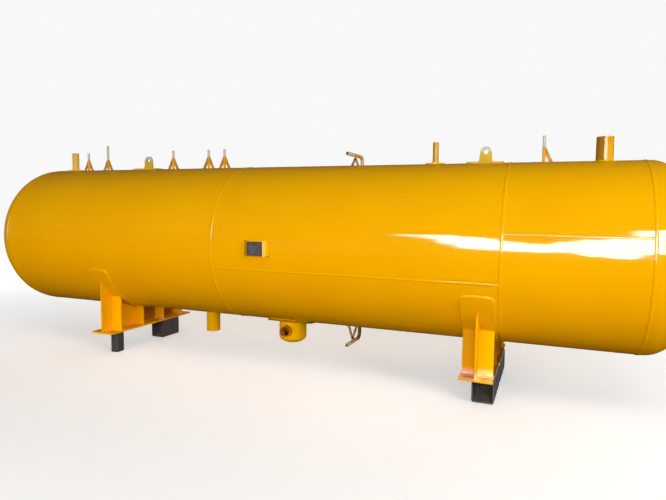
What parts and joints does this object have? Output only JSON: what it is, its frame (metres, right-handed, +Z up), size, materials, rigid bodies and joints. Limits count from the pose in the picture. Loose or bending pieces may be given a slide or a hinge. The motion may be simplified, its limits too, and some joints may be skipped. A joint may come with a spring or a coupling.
{
  "type": "horizontal pressure tank",
  "caption": "Horizontal welded pressure tank with dished ends on two saddles and tube blocks, with pipe stubs, bent gauge pipes, lifting lugs, a sump and a blank nameplate.",
  "frame": {"origin": "on the ground, below the middle of the vessel's axis", "axes": "+X along the vessel towards the end with the widest stub, +Y to the back, +Z up; the nameplate faces -Y"},
  "size_m": [5.514, 1.2513, 1.767],
  "materials": {
    "yellow_enamel": "glossy golden yellow enamel",
    "block_steel": "dark, rusted and dusty",
    "plate_blank": "dark and satin, blank"
  },
  "bodies": {
    "root": {"block_left_front": "block_steel", "block_left_rear": "block_steel", "block_right_front": "block_steel", "block_right_rear": "block_steel", "drain_stub": "yellow_enamel", "gauge_brace_bottom": "yellow_enamel", "gauge_brace_top": "yellow_enamel", "gauge_pipe_bottom": "yellow_enamel", "gauge_pipe_top": "yellow_enamel", "head_left": "yellow_enamel", "head_right": "yellow_enamel", "inlet_stub": "yellow_enamel", "instrument_nozzle_1": "yellow_enamel", "instrument_nozzle_2": "yellow_enamel", "instrument_nozzle_3": "yellow_enamel", "instrument_nozzle_4": "yellow_enamel", "instrument_nozzle_5": "yellow_enamel", "instrument_nozzle_6": "yellow_enamel", "lifting_lug_left": "yellow_enamel", "lifting_lug_right": "yellow_enamel", "lug_pad_left": "yellow_enamel", "lug_pad_right": "yellow_enamel", "nameplate": "plate_blank", "nameplate_bracket": "yellow_enamel", "nozzle_braces": "yellow_enamel", "return_pad": "yellow_enamel", "return_stub": "yellow_enamel", "saddle_left_base": "yellow_enamel", "saddle_left_pad": "yellow_enamel", "saddle_left_ribs": "yellow_enamel", "saddle_left_web": "yellow_enamel", "saddle_right_base": "yellow_enamel", "saddle_right_pad": "yellow_enamel", "saddle_right_ribs": "yellow_enamel", "saddle_right_web": "yellow_enamel", "shell_left": "yellow_enamel", "shell_middle": "yellow_enamel", "shell_right": "yellow_enamel", "sump_cap": "yellow_enamel", "sump_nozzle": "yellow_enamel", "sump_pad": "yellow_enamel", "sump_pot": "yellow_enamel", "vent_pad": "yellow_enamel", "vent_stub": "yellow_enamel"}
  },
  "joints": []
}
